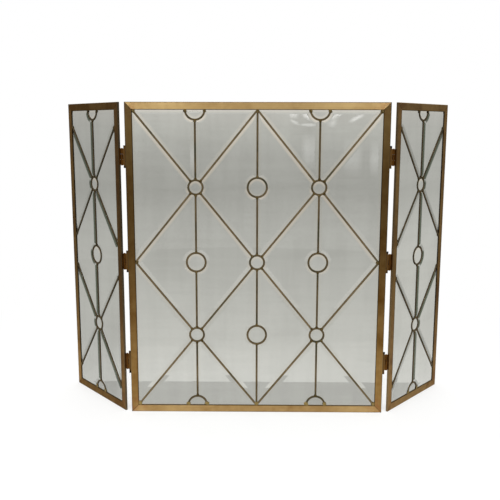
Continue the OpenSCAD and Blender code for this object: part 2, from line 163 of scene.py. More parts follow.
class Sheet:
    def __init__(self, owner):
        owner.use_nodes = True
        self.tree = owner.node_tree
        self.tree.nodes.clear()

    def node(self, kind, settings=None, inputs=None, output=0):
        made = self.tree.nodes.new("ShaderNode" + kind)
        for name, value in (settings or {}).items():
            setattr(made, name, value)
        for name, value in (inputs or {}).items():
            if isinstance(value, Signal):
                self.tree.links.new(value.socket, made.inputs[name])
            elif isinstance(value, tuple) and len(made.inputs[name].default_value) == 4:
                made.inputs[name].default_value = (*value, 1)
            else:
                made.inputs[name].default_value = value
        return Signal(self, made.outputs[output]) if made.outputs else None

    def mix(self, share, first, second):
        settings = {"data_type": "RGBA"}
        return self.node("Mix", settings, {0: share, 6: first, 7: second}, output=2)

    def stops(self, signal, places):  # colours at places along a signal
        low, high = places[0][0], places[-1][0]
        made = self.node("ValToRGB", None, {"Fac": (signal - low) / (high - low)})
        ramp = made.socket.node.color_ramp
        while len(ramp.elements) < len(places):
            ramp.elements.new(0.5)
        for element, (place, colour) in zip(ramp.elements, places):
            element.position = (place - low) / (high - low)
            element.color = (*colour, 1)
        return made

    def noise(self, place, marks, detail, rough):  # marks to the metre, all round or each way
        if isinstance(marks, tuple):
            place = self.node("VectorMath", {"operation": "MULTIPLY"}, {0: place, 1: marks})
            marks = 1.0
        inputs = {"Vector": place, "Scale": marks, "Detail": detail, "Roughness": rough}
        return self.node("TexNoise", None, inputs)

    def parts(self, vector):
        split = self.node("SeparateXYZ", None, {0: vector})
        return [Signal(self, out) for out in split.socket.node.outputs]

    def bump(self, height, strength, distance):
        return self.node("Bump", None, {"Strength": strength, "Distance": distance, "Height": height})

    def glow(self, colour, strength):
        return self.node("Emission", None, {"Color": colour, "Strength": strength})

    def coordinates(self, kind="Object"):
        return self.node("TexCoord", None, None, output=kind)

    def ray(self, kind):
        return self.node("LightPath", None, None, output=kind)

    def surface(self, shader):
        self.node("OutputMaterial", None, {"Surface": shader})

    # The piece's own place and normal, turned into its panel's flat frame
    def panelPlace(self, panel):
        origin = panel["matrix"].to_translation()
        inputs = {"Vector": self.coordinates(), "Location": origin, "Rotation": (0, 0, panel["turn"])}
        return self.node("Mapping", {"vector_type": "TEXTURE"}, inputs)

    def panelNormal(self, panel):
        inputs = {"Vector": self.coordinates("Normal"), "Angle": -panel["turn"]}
        return self.node("VectorRotate", {"rotation_type": "Z_AXIS"}, inputs)


def dress(names, material):
    for name in names:
        data = nodes[name].data
        data.materials.clear()
        data.materials.append(material)


def only(*objects):
    bpy.ops.object.select_all(action="DESELECT")
    for o in objects:
        o.select_set(True)
    bpy.context.view_layer.objects.active = objects[0]


white = (1.0, 1.0, 1.0)
black = (0.0, 0.0, 0.0)
# Metal that looks less squarely forward or back is painted darker, a painted shade on eased edges
flatFace = (0.75, 0.95)  # how squarely metal looks forward or back, from an eased edge to a flat face


# In the settings below, a pair such as edgeFrom or footUp says where something starts and where it is
# full. Distances and heights are in metres. A bump has a strength and a depth.

# Flat bars of the frames: antiqued brass, brushed lengthways, brown where the patina was left on, and
# browner or brighter by place as painted reflection.
barSet = {
    "bright": {"rail": (0.60, 0.43, 0.20), "stile": (0.57, 0.37, 0.14)},
    "warm": (0.50, 0.32, 0.115),
    "brown": {
        "centre": (0.190, 0.086, 0.014),
        "left": (0.180, 0.100, 0.042),
        "right": (0.190, 0.106, 0.046),
    },
    "grazed": {
        "centre": (0.70, 0.45, 0.25),
        "left": (0.84, 0.68, 0.48),
        "right": (0.90, 0.76, 0.58),
    },
    # painted shade: the bars darker along their outer edge and on their eased edges
    "edge": {
        "centre": (0.15, 0.11, 0.062),
        "left": (0.15, 0.11, 0.062),
        "right": (0.27, 0.185, 0.09),
    },
    "edgeFrom": (0.0020, 0.0008),  # from the bar's outer edge
    "edgeShare": 0.8,
    # painted shade at the inner edge by the glass and in the groove that holds it
    "lipShade": (0.070, 0.046, 0.022),
    "lipFrom": (0.0168, 0.0180),  # the inner edge, by the glass
    "grooveFrom": (0.012, 0.013),
    "grooveHalf": (0.0023, 0.0021),  # from the middle of the bar's thickness
    "lipShare": 0.9,
    "seam": (0.075, 0.050, 0.022),
    "seamFrom": (0.0009, 0.0004),  # from the mitre
    "seamShare": 0.8,
    "heat": (0.36, 0.15, 0.06),
    "heatFrom": (0.030, 0.004),
    "heatMottles": (0.35, 0.6),
    "roughness": 0.40,
    "duller": 0.10,  # where it is brown or brushed
    "anisotropy": 0.85,
    "grainTurn": {"rail": 0.25, "stile": 0.0},  # in whole turns
    "brushLong": 5.0,  # brush marks to the metre along the bar
    "brushFine": 1400.0,  # and across it
    "brushFrom": (0.3, 0.7),
    "brushShare": 0.6,
    "brushBump": (0.35, 0.00002),
    "streaks": 0.2,  # streaks of patina to one brush mark
    "streaked": 0.25,  # how far they change the brown
    "patches": 9.0,  # to the metre
    "patchFrom": (0.42, 0.66),
    "mottles": 70.0,
    "mottled": 0.3,
}
# How brown the bars are, partly patina and partly painted reflection, what comes to that at places along
# them as painted reflection, how far it changes in patches, and how strong the heat tint is at the mitres
barPatinaAndReflection = {
    ("centre", "rail"): {"brown": 0.04, "low": 0.26, "middle": 0.17, "patch": 0.20, "heat": 0.35},
    ("centre", "stile"): {"brown": 0.62, "low": -0.25, "high": -0.52, "patch": 0.30, "heat": 0.50},
    ("left", "rail"): {"brown": 0.87, "patch": 0.30, "heat": 0.15},
    ("left", "stile"): {"brown": 0.86, "waist": -0.06, "far": -0.22, "patch": 0.30, "heat": 0.15},
    ("right", "rail"): {"brown": 0.65, "patch": 0.30, "heat": 0.15},
    ("right", "stile"): {"brown": 0.76, "high": -0.14, "waist": -0.26, "patch": 0.30, "heat": 0.15},
}
# Those places of painted reflection: heights, how far from the waist and from the panel's middle, and how
# far out on a wing
paintedReflectionPlaces = {
    "low": (0.20, 0.04),
    "high": (0.58, 0.76),
    "waist": (0.22, 0.12),
    "middle": (0.24, 0.08),
    "far": (0.10, 0.12),
}
waistHeight = 0.47


def barFinish(side, kind, s, tone):
    material = bpy.data.materials.new("brass_" + side + "_" + kind)
    sheet = Sheet(material)
    panel = panels[side]
    place = sheet.panelPlace(panel)
    normal = sheet.parts(sheet.panelNormal(panel))
    x, y, z = sheet.parts(place)
    fromSide = panel["half"] - abs(x)
    fromEnd = panelSet["height"] / 2 - abs(z - panelSet["height"] / 2)
    fromEdge = fromEnd if kind == "rail" else fromSide
    fromMitre = abs(fromSide - fromEnd) / math.sqrt(2)

    long, fine = s["brushLong"], s["brushFine"]
    brushed = (long, fine, fine) if kind == "rail" else (fine, fine, long)
    strokes = sheet.noise(place, brushed, detail=3.0, rough=0.6)
    streaked = tuple(marks * s["streaks"] for marks in brushed)
    streaks = sheet.noise(place, streaked, detail=2.0, rough=0.5)
    cloud = sheet.noise(place, s["patches"], detail=4.0, rough=0.6)
    mottle = sheet.noise(place, s["mottles"], detail=3.0, rough=0.55)
    brownShare = cloud.ramp(*s["patchFrom"]) * tone["patch"] + tone["brown"]
    waist, outward = abs(z - waistHeight), x * panel["outward"]
    along = {"low": z, "high": z, "waist": waist, "middle": abs(x), "far": outward}
    # painted reflection: the bars lighter or darker by height, by the waist, along the rails and out on
    # the wings
    for spot, reach in along.items():
        if spot in tone:
            brownShare = brownShare + reach.ramp(*paintedReflectionPlaces[spot]) * tone[spot]
    brownShare = (brownShare + (mottle - 0.5) * s["mottled"] + (streaks - 0.5) * s["streaked"]).kept()

    golden = sheet.mix(strokes.ramp(*s["brushFrom"]) * s["brushShare"], s["bright"][kind], s["warm"])
    patinaAndPaintedShade = sheet.mix(brownShare, golden, s["brown"][side])
    heated = fromMitre.ramp(*s["heatFrom"]) * mottle.ramp(*s["heatMottles"]) * tone["heat"]
    patinaAndPaintedShade = sheet.mix(heated, patinaAndPaintedShade, s["heat"])
    # painted shade along the outer edge
    patinaAndPaintedShade = sheet.mix(fromEdge.ramp(*s["edgeFrom"]) * s["edgeShare"], patinaAndPaintedShade, s["edge"][side])
    patinaAndPaintedShade = sheet.mix(fromMitre.ramp(*s["seamFrom"]) * s["seamShare"], patinaAndPaintedShade, s["seam"])
    # painted shade on the eased edges
    colour = sheet.mix(abs(normal[1]).ramp(*flatFace), s["edge"][side], patinaAndPaintedShade)
    # painted shade in the groove and at the lip by the glass
    grooveShade = fromEdge.ramp(*s["grooveFrom"]) * abs(y).ramp(*s["grooveHalf"])
    colour = sheet.mix(fromEdge.ramp(*s["lipFrom"]).most(grooveShade) * s["lipShare"], colour, s["lipShade"])
    inputs = {
        "Base Color": colour,
        "Metallic": 1.0,
        "Roughness": (brownShare + strokes) * s["duller"] + s["roughness"],
        "Specular Tint": s["grazed"][side],
        "Normal": sheet.bump(strokes, *s["brushBump"]),
        "Anisotropic": s["anisotropy"],
        "Anisotropic Rotation": s["grainTurn"][kind],
    }
    sheet.surface(sheet.node("BsdfPrincipled", None, inputs))
    return material


for (side, kind), tone in barPatinaAndReflection.items():
    bars = [n for n in nodes if n.startswith(side) and n.endswith(kind)]
    dress(bars, barFinish(side, kind, barSet, tone))
print("frame bars finished")


# Cames and rings: darker than the bars, with a greenish bloom; the darkness is partly painted reflection,
# and their eased edges get painted shade.
cameSet = {
    "bright": (0.36, 0.27, 0.15),
    "dark": (0.095, 0.070, 0.036),
    "green": (0.075, 0.080, 0.050),
    "greenFrom": (0.5, 0.7),
    "roughness": 0.45,
    "duller": 0.2,  # where it is dark
    "patches": 14.0,  # to the metre
    "patchFrom": (0.35, 0.7),
    "patched": 0.4,  # how far they change the darkness
    "mottles": 220.0,
    "mottled": 0.3,
    "evened": 0.3,  # what the two add on average
    "mottleBump": (0.4, 0.0001),
}
# how dark they are is partly patina and partly painted reflection: the diagonal cames lighter than the
# upright ones
cameDarknessAndReflection = {  # how dark they are
    ("centre", "vertical_cames"): 0.85,
    ("centre", "diagonal_cames"): 0.62,
    ("centre", "ring"): 0.80,
    ("left", "vertical_cames"): 0.90,
    ("left", "diagonal_cames"): 0.93,
    ("left", "ring"): 0.90,
    ("right", "vertical_cames"): 0.90,
    ("right", "diagonal_cames"): 0.88,
    ("right", "ring"): 0.90,
}


def cameFinish(side, kind, s, darkness):
    material = bpy.data.materials.new("came_" + side + "_" + kind)
    sheet = Sheet(material)
    place = sheet.panelPlace(panels[side])
    normal = sheet.parts(sheet.panelNormal(panels[side]))
    cloud = sheet.noise(place, s["patches"], detail=4.0, rough=0.6)
    mottle = sheet.noise(place, s["mottles"], detail=3.0, rough=0.6)
    brownShare = cloud.ramp(*s["patchFrom"]) * s["patched"] + mottle * s["mottled"]
    brownShare = (brownShare + (darkness - s["evened"])).kept()
    aged = sheet.mix(cloud.ramp(*s["greenFrom"]), s["dark"], s["green"])
    colour = sheet.mix(brownShare, s["bright"], aged)
    inputs = {
        # painted shade on the eased edges
        "Base Color": sheet.mix(abs(normal[1]).ramp(*flatFace), s["dark"], colour),
        "Metallic": 1.0,
        "Roughness": brownShare * s["duller"] + s["roughness"],
        "Normal": sheet.bump(mottle, *s["mottleBump"]),
    }
    sheet.surface(sheet.node("BsdfPrincipled", None, inputs))
    return material


for (side, kind), darkness in cameDarknessAndReflection.items():
    lattice = [n for n in nodes if n.startswith(side) and n.rstrip("s").endswith(kind.rstrip("s"))]
    dress(lattice, cameFinish(side, kind, cameSet, darkness))
print("cames and rings finished")


# Patina on the hinges and the solder: soft patches, with fine marks over them
patinaSet = {
    "patchFrom": (0.3, 0.7),
    "patched": 0.8,
    "marked": 0.25,
}


def patina(cloud, marks, s):
    return (cloud.ramp(*s["patchFrom"]) * s["patched"] + marks * s["marked"]).least(1.0)


# Hinges: the stile's own brown where the leaf is brazed on, redder and darker round the knuckles.
hingeSet = {
    "root": (0.166, 0.089, 0.027),
    "rootFrom": (0.0068, 0.0052),  # from the stile
    "rootWorn": 0.4,
    "leaf": (0.15, 0.062, 0.012),
    "leafDark": (0.060, 0.022, 0.004),
    "pin": (0.38, 0.27, 0.13),
    "roughness": 0.45,
    "duller": 0.2,  # where it is brown
    "patches": 40.0,  # to the metre
    "scuffs": (900.0, 900.0, 60.0),
    "scuffBump": (0.4, 0.00008),
}


def hingeFinish(name, s, bright, dark):
    material = bpy.data.materials.new(name)
    sheet = Sheet(material)
    place = sheet.coordinates()
    cloud = sheet.noise(place, s["patches"], detail=4.0, rough=0.6)
    scuff = sheet.noise(place, s["scuffs"], detail=2.0, rough=0.5)
    brownShare = patina(cloud, scuff, patinaSet)
    fromStile = abs(sheet.parts(place)[0]) - panelSet["centreHalf"]
    root = fromStile.ramp(*s["rootFrom"]) * (1.0 - brownShare * s["rootWorn"])
    inputs = {
        "Base Color": sheet.mix(root, sheet.mix(brownShare, bright, dark), s["root"]),
        "Metallic": 1.0,
        "Roughness": brownShare * s["duller"] + s["roughness"],
        "Normal": sheet.bump(scuff, *s["scuffBump"]),
    }
    sheet.surface(sheet.node("BsdfPrincipled", None, inputs))
    return material


leafBrass = hingeFinish("hinge_leaf_brass", hingeSet, hingeSet["leaf"], hingeSet["leafDark"])
pinBrass = hingeFinish("hinge_pin_brass", hingeSet, hingeSet["pin"], hingeSet["leaf"])
dress([n for n in nodes if "leaves" in n], leafBrass)
dress([n for n in nodes if "pins" in n], pinBrass)
print("hinges finished")


# Braze: a flare over and under each hinge, from the stile's edge down to the leaf's arm
brazeSet = {
    "reach": 0.0050,
    "rise": 0.0078,
    "longRise": 0.0115,  # under the lowest hinges
    "tip": 0.0005,  # what is left of the rise at the end of the reach
    "root": 0.0202,  # from a hinge's middle
    "front": 0.0007,
    "back": 0.0028,
    "sunk": 0.0003,  # into the stile
    "eased": 0.0003,
    "easedSteps": 2,
    "smoothTo": math.radians(40),
    "leafRoot": 0.049,  # height of a hinge's leaf at the stile
}


def brazeFlare(rise, s):
    bpy.ops.object.select_all(action="DESELECT")
    bpy.ops.mesh.primitive_cube_add(size=1, location=(0, 0, 0))
    flare = bpy.context.object
    flare.scale = (s["reach"] + s["sunk"], s["back"] - s["front"], rise)
    flare.location = ((s["reach"] - s["sunk"]) / 2, (s["front"] + s["back"]) / 2, rise / 2)
    bpy.ops.object.transform_apply(location=True, rotation=False, scale=True)
    bpy.ops.object.mode_set(mode="EDIT")
    bpy.ops.mesh.select_all(action="SELECT")
    cut = {"plane_co": (0, 0, rise), "plane_no": (rise - s["tip"], 0, s["reach"])}
    bpy.ops.mesh.bisect(**cut, clear_outer=True, use_fill=True)
    bpy.ops.mesh.select_all(action="SELECT")
    bpy.ops.mesh.bevel(offset=s["eased"], segments=s["easedSteps"], affect="EDGES")
    bpy.ops.object.mode_set(mode="OBJECT")
    return flare


def brazeJoints(s, material):
    leaves = [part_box(n) for n in nodes if n.endswith("hinge_centre_leaves")]
    low, high = leaves[0][0].z, leaves[0][1].z
    half = s["leafRoot"] / 2
    heights = [low + half, (low + high) / 2, high - half]
    shapes = {rise: brazeFlare(rise, s) for rise in (s["rise"], s["longRise"])}
    copies = []
    for outward in (-1, 1):
        for height in heights:
            for end in (-1, 1):
                lowest = end < 0 and height == heights[0]
                flare = shapes[s["longRise"] if lowest else s["rise"]].copy()
                flare.data = flare.data.copy()
                bpy.context.scene.collection.objects.link(flare)
                root = (outward * panelSet["centreHalf"], 0, height + end * s["root"])
                flare.matrix_world = Matrix.Translation(root) @ Matrix.Diagonal((outward, 1, end, 1))
                copies.append(flare)
    only(*copies)
    bpy.ops.object.transform_apply(location=True, rotation=True, scale=True)
    bpy.ops.object.join()
    braze = bpy.context.object
    braze.name = "hingeBraze"
    bpy.ops.object.mode_set(mode="EDIT")
    bpy.ops.mesh.select_all(action="SELECT")
    bpy.ops.mesh.normals_make_consistent(inside=False)
    bpy.ops.object.mode_set(mode="OBJECT")
    bpy.ops.object.shade_smooth_by_angle(angle=s["smoothTo"])
    braze.data.materials.clear()
    braze.data.materials.append(material)
    only(*shapes.values())
    bpy.ops.object.delete()
    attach(braze, "centre_panel")


brazeJoints(brazeSet, leafBrass)
print("hinges brazed")


# Glass: clear plate with a grey cast, a little wavy and cloudy, its bevels a little warmer. Bevels that
# look up or down get a painted highlight, paler and warmer and stronger higher up, and on the centre
# panel and the discs those that look up get a painted glow.
glassSet = {
    "field": (0.790, 0.793, 0.750),
    "disc": (0.805, 0.81, 0.77),
    "smudge": (0.675, 0.675, 0.636),
    "edge": (0.765, 0.745, 0.670),
    "bevel": (1.0, 0.95, 0.84),
    "roughness": 0.0,
    "shadowTint": (0.86, 0.87, 0.86),
    "ior": {"centre": 1.6, "left": 1.28, "right": 1.28, "disc": 1.25},
    "waves": 7.0,  # to the metre
    "waveBump": (0.3, 0.0005),
    "clouds": [  # marks to the metre each way, how rough, where they start and are full, share
        ((5.0, 5.0, 3.0), 0.5, (0.45, 0.70), 0.50),
        ((22.0, 22.0, 2.5), 0.6, (0.38, 0.66), 0.30),  # upright strokes
        ((3.0, 3.0, 40.0), 0.6, (0.40, 0.66), 0.20),  # level strokes
    ],
    "flatFrom": (0.990, 0.999),  # how squarely the glass looks forward, up to the flat face
    "bevelFrom": (0.998, 0.988),  # and down to the bevels
    "bevelDown": (-0.0028, -0.0016),  # from the plate's face to where a came or bar covers the bevel
    "paintedHighlightUp": 9.0,  # how readily a bevel that looks up gets the painted highlight and the painted glow
    "paintedHighlightDown": 6.0,
    "shineUp": (0.30, 0.75),
    "paintedGlow": (0.075, 0.048, 0.022),  # painted glow on the bevels that look up
    "gleamUp": (0.20, 0.50),
    "gleamEnd": (0.775, 0.76),
    "wingShine": 0.3,  # the wings' bevels get less of the painted highlight
}
# Painted shade: dark bands beside the wings' cames, on the bevels that look toward the centre panel
shadeBandSet = {
    "colour": (0.035, 0.046, 0.026),
    "towardFrom": (0.05, 0.12),  # how far a bevel looks that way
    "bevelDown": (-0.0029, -0.0023),
    "stileFrom": (0.029, 0.031),  # none beside the stiles
    "diagonalFrom": (0.03, 0.06),  # other than along the diagonal cames
    "lookingDown": {"left": 0.20, "right": 0.50},  # how dark on the bevels that also look down
    "downFrom": (-0.04, -0.10),
    "byHinges": {"left": 1.0, "right": 0.45},  # and on the others in the half by the hinges
    "hingesFrom": (-0.004, 0.004),  # from the wing's middle
}


def glassClouds(sheet, place, s):
    clouded = 0.0
    for marks, rough, reach, share in s["clouds"]:
        cloud = sheet.noise(place, marks, detail=3.0, rough=rough)
        clouded = clouded + cloud.ramp(*reach) * share
    return clouded


def wingBands(side, x, y, normal, s):
    panel = panels[side]
    inward = -panel["outward"]
    lattice = (panel["half"] - abs(x)).ramp(*s["stileFrom"]).most(abs(normal[2]).ramp(*s["diagonalFrom"]))
    hingeSide = (x * inward).ramp(*s["hingesFrom"])
    lowered = normal[2].ramp(*s["downFrom"])
    darkness = 1.0 - hingeSide * (1.0 - s["byHinges"][side])
    darkness = (1.0 - lowered) * darkness + lowered * s["lookingDown"][side]
    toward = (normal[0] * inward).ramp(*s["towardFrom"])
    return toward * lattice * darkness * y.ramp(*s["bevelDown"])


def glassFinish(side, kind, s):
    material = bpy.data.materials.new("glass_" + side + "_" + kind)
    sheet = Sheet(material)
    place = sheet.panelPlace(panels[side])
    x, y, z = sheet.parts(place)
    normal = sheet.parts(sheet.panelNormal(panels[side]))
    field = sheet.mix(glassClouds(sheet, place, s), s[kind], s["smudge"])
    sloped = abs(normal[1]).ramp(*s["bevelFrom"])  # 1 on the bevels, 0 on the flat faces
    bevelled = sloped * y.ramp(*s["bevelDown"])
    facing = (normal[2].most(0.0) * s["paintedHighlightUp"] + (-normal[2]).most(0.0) * s["paintedHighlightDown"]).least(1.0)
    # painted highlight on the bevels, stronger higher up
    paintedHighlight = facing * z.ramp(*s["shineUp"]) * bevelled
    if side == "centre" or kind == "disc":
        colour = sheet.mix(paintedHighlight, sheet.mix(bevelled, field, s["edge"]), s["bevel"])
        # painted glow on the bevels that look up
        caught = (normal[2] * s["paintedHighlightUp"]).kept() * z.ramp(*s["gleamUp"]) * z.ramp(*s["gleamEnd"])
        paintedGlow = sheet.mix(caught * bevelled, black, s["paintedGlow"])
    else:
        # painted shade in bands along the wings' cames
        shadeBands = wingBands(side, x, y, normal, shadeBandSet) * sloped
        colour = sheet.mix(shadeBands, sheet.mix(paintedHighlight * s["wingShine"], field, s["bevel"]), shadeBandSet["colour"])
        paintedGlow = black
    wave = sheet.noise(place, s["waves"], detail=1.0, rough=0.4)
    flat = (-normal[1]).ramp(*s["flatFrom"])
    inputs = {
        "Base Color": colour,
        "Emission Color": paintedGlow,
        "Emission Strength": 1.0,
        "Roughness": s["roughness"],
        "IOR": s["ior"]["disc" if kind == "disc" else side],
        "Transmission Weight": 1.0,
        "Normal": sheet.bump(wave * flat, *s["waveBump"]),
    }
    pane = sheet.node("BsdfPrincipled", None, inputs)
    shade = sheet.node("BsdfTransparent", None, {"Color": s["shadowTint"]})
    sheet.surface(sheet.node("MixShader", None, {0: sheet.ray("Is Shadow Ray"), 1: pane, 2: shade}))
    return material


for side in panels:
    dress([n for n in nodes if n.startswith(side) and "glass" in n], glassFinish(side, "field", glassSet))
    dress([n for n in nodes if n.startswith(side) and "disc" in n], glassFinish(side, "disc", glassSet))
print("glass finished")


# Solder: uneven beads that flow a little onto the cames, one at each joint on both faces.
solderSet = {
    "shapes": 6,
    "segments": 14,
    "rings": 8,
    "smoothTo": math.radians(60),
    "radius": 0.0034,
    "height": 0.00052,
    "uneven": 0.22,
    "lengths": (0.9, 1.2),  # the copies differ by as much
    "widths": (0.9, 1.1),
    "heights": (0.85, 1.0),
    "besideFrame": 1.2,  # beads at the frame are this much wider
    "overFoot": 1.6,  # and those over the bottom rail
    "frameReach": 0.026,
    "mergeReach": 0.000001,  # a node's mesh is loose triangles
    "bright": (0.22, 0.16, 0.066),
    "foot": (0.34, 0.25, 0.095),
    "footUp": (0.045, 0.030),
    "footBright": 0.7,  # how much less brown it is there
    "dark": (0.050, 0.034, 0.012),
    # painted shade on the beads' sloping rims
    "rim": (0.045, 0.030, 0.012),
    "rimShadeFrom": (0.985, 0.94),  # how squarely a bead looks forward or back
    "roughness": 0.48,
    "duller": 0.2,  # where it is brown
    "patches": 90.0,  # to the metre
    "grains": 1800.0,
    "grainBump": (0.5, 0.0001),
}
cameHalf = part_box("centre_small_rings")[1].y


def solderFinish(side, s):
    material = bpy.data.materials.new("solder_" + side)
    sheet = Sheet(material)
    place = sheet.panelPlace(panels[side])
    normal = sheet.parts(sheet.panelNormal(panels[side]))
    cloud = sheet.noise(place, s["patches"], detail=3.0, rough=0.6)
    grain = sheet.noise(place, s["grains"], detail=2.0, rough=0.6)
    brownShare = patina(cloud, grain, patinaSet)
    foot = sheet.parts(place)[2].ramp(*s["footUp"])
    paler = sheet.mix(foot, s["bright"], s["foot"])
    colour = sheet.mix(brownShare * (1.0 - foot * s["footBright"]), paler, s["dark"])
    inputs = {
        # painted shade on the rims
        "Base Color": sheet.mix(abs(normal[1]).ramp(*s["rimShadeFrom"]), colour, s["rim"]),
        "Metallic": 1.0,
        "Roughness": brownShare * s["duller"] + s["roughness"],
        "Normal": sheet.bump(grain, *s["grainBump"]),
    }
    sheet.surface(sheet.node("BsdfPrincipled", None, inputs))
    return material


def beadShape(number, s):
    bpy.ops.object.select_all(action="DESELECT")
    bpy.ops.mesh.primitive_uv_sphere_add(segments=s["segments"], ring_count=s["rings"], radius=1.0)
    bead = bpy.context.object
    bead.name = "beadShape" + str(number)
    bpy.ops.object.mode_set(mode="EDIT")
    bpy.ops.mesh.select_all(action="SELECT")
    bpy.ops.transform.vertex_random(offset=s["uneven"], uniform=1.0, normal=0.0, seed=number)
    bpy.ops.mesh.select_all(action="SELECT")
    bpy.ops.mesh.bisect(plane_co=(0, 0, 0), plane_no=(0, 0, -1), clear_outer=True, use_fill=True)
    bpy.ops.object.mode_set(mode="OBJECT")
    crown = max(vertex.co.z for vertex in bead.data.vertices)
    bead.scale = (s["radius"], s["radius"], s["height"] / crown)
    bpy.ops.object.transform_apply(location=False, rotation=False, scale=True)
    bpy.ops.object.shade_smooth_by_angle(angle=s["smoothTo"])
    return bead


def beadPlaces(nodeName, s):  # the middles of the node's plain beads, always in the same order
    only(nodes[nodeName])
    bpy.ops.object.duplicate()
    work = bpy.context.object
    work.parent = None
    bpy.ops.object.mode_set(mode="EDIT")
    bpy.ops.mesh.select_all(action="SELECT")
    bpy.ops.mesh.remove_doubles(threshold=s["mergeReach"])
    bpy.ops.mesh.separate(type="LOOSE")
    bpy.ops.object.mode_set(mode="OBJECT")
    islands = list(bpy.context.selected_objects)
    places = []
    for island in islands:
        corners = [vertex.co for vertex in island.data.vertices]
        low = Vector(map(min, zip(*corners)))
        high = Vector(map(max, zip(*corners)))
        places.append((low + high) / 2)
    only(*islands)
    bpy.ops.object.delete()
    return sorted(places, key=lambda p: (round(p.z, 5), round(p.x, 5), round(p.y, 5)))


def solderJoints(side, shapes, s, material):
    panel = panels[side]
    nodeName = side + "_solder_beads"
    chance = random.Random(nodeName)
    faceOf = {-1: Matrix.Rotation(math.pi / 2, 4, "X"), 1: Matrix.Rotation(-math.pi / 2, 4, "X")}
    inPanel = panel["matrix"].inverted()
    copies = []
    for place in beadPlaces(nodeName, s):
        flat = inPanel @ place
        face = 1 if flat.y > 0 else -1
        flat.y = face * cameHalf
        bead = chance.choice(shapes).copy()
        bead.data = bead.data.copy()
        bpy.context.scene.collection.objects.link(bead)
        spin = Matrix.Rotation(chance.uniform(0, 2 * math.pi), 4, "Z")
        fromFrame = min(flat.z, panelSet["height"] - flat.z, panel["half"] - abs(flat.x))
        wide = s["besideFrame"] if fromFrame < s["frameReach"] else 1.0
        wide = s["overFoot"] if flat.z < s["frameReach"] else wide
        length, width, height = [chance.uniform(*s[way]) for way in ("lengths", "widths", "heights")]
        shaped = faceOf[face] @ spin @ Matrix.Diagonal((length * wide, width * wide, height, 1))
        bead.matrix_world = panel["matrix"] @ Matrix.Translation(flat) @ shaped
        copies.append(bead)
    only(*copies)
    bpy.ops.object.transform_apply(location=True, rotation=True, scale=True)
    bpy.ops.object.join()
    joints = bpy.context.object
    joints.name = side + "SolderJoints"
    joints.data.materials.clear()
    joints.data.materials.append(material)
    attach(joints, panel["body"])
    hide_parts(nodeName)


beadShapes = [beadShape(number, solderSet) for number in range(solderSet["shapes"])]
for side in panels:
    solderJoints(side, beadShapes, solderSet, solderFinish(side, solderSet))
only(*beadShapes)
bpy.ops.object.delete()
print("solder joints made")


# Stage: a pale floor that keeps the screen's shadow, and a grey card close behind it that only the glass
# shows, its foot darker as a painted shadow on the floor behind the screen.
stageSet = {
    "floorReach": 2.6,
    "floorCorners": 96,
    "floorColour": (0.80, 0.80, 0.79),
    "floorWhite": 0.58,  # share of plain white near the screen
    "whiteFrom": (0.6, 1.4),  # further off it turns all white
    "dimFrom": (0.3, 2.4),  # but dim where the metal and the glass mirror it
    "dimColour": (0.12, 0.12, 0.12),
    "cardBehind": 0.222,
    "cardHalf": 3.0,
    "cardTop": 2.0,
    "cardLift": 0.001,  # its foot lies just over the floor
    # painted shadow on the card's foot, where it lies on the floor behind the screen
    "cardFootShadow": (0.505, 0.505, 0.49),
    "footEnd": (0.0012, 0.0014),  # from the foot's height to where the back begins
    "cardTones": [  # height and colour of its back
        (0.00, (0.75, 0.75, 0.735)),
        (0.09, (0.69, 0.69, 0.67)),
        (0.13, (0.63, 0.63, 0.61)),
        (0.24, (0.61, 0.61, 0.59)),
        (0.35, (0.60, 0.60, 0.583)),
        (0.46, (0.545, 0.545, 0.53)),
        (0.57, (0.445, 0.445, 0.43)),
        (0.67, (0.505, 0.505, 0.49)),
        (0.73, (0.595, 0.595, 0.575)),
        (0.78, (0.655, 0.645, 0.625)),
    ],
    "cardSides": (0.36, 0.42),  # from here out the card is the wings' ground
    "cardLeft": (0.80, 0.99, 0.83),  # and so bright beside its tones low down, half way up and at the top
    "cardRight": (1.00, 1.15, 0.92),
    "halfUp": (0.02, 0.30),  # heights from low down to half way
    "topUp": (0.58, 0.76),  # and from there to the top
}


def floorFinish(s):
    material = bpy.data.materials.new("paleFloor")
    sheet = Sheet(material)
    x, y = sheet.parts(sheet.coordinates())[:2]
    away = (x * x + y * y).root()
    shown = sheet.ray("Is Camera Ray")
    for kind in ("Is Glossy Ray", "Is Transmission Ray"):
        shown = shown.most(sheet.ray(kind))
    share = away.ramp(*s["whiteFrom"]) * (1 - s["floorWhite"]) + s["floorWhite"]
    lit = sheet.node("BsdfDiffuse", None, {"Color": s["floorColour"]})
    pale = sheet.node("MixShader", None, {0: shown * share, 1: lit, 2: sheet.glow(white, 1.0)})
    mirrored = sheet.ray("Glossy Depth").least(1.0)
    dimmed = mirrored * away.ramp(*s["dimFrom"])
    dim = sheet.glow(s["dimColour"], 1.0)
    sheet.surface(sheet.node("MixShader", None, {0: dimmed, 1: pale, 2: dim}))
    return material


def cardFinish(s):
    material = bpy.data.materials.new("greyCard")
    sheet = Sheet(material)
    x, y, z = sheet.parts(sheet.coordinates())
    level = 1.0
    for outward, (low, half, high) in ((-x, s["cardLeft"]), (x, s["cardRight"])):
        rise = z.ramp(*s["halfUp"]) * (half - low) + z.ramp(*s["topUp"]) * (high - half)
        level = level + outward.ramp(*s["cardSides"]) * (rise + (low - 1.0))
    # painted shadow on the foot
    colour = sheet.mix(z.ramp(*s["footEnd"]), s["cardFootShadow"], sheet.stops(z, s["cardTones"]))
    colour = sheet.node("VectorMath", {"operation": "SCALE"}, {"Vector": colour, "Scale": level})
    sheet.surface(sheet.glow(colour, 1.0))
    return material


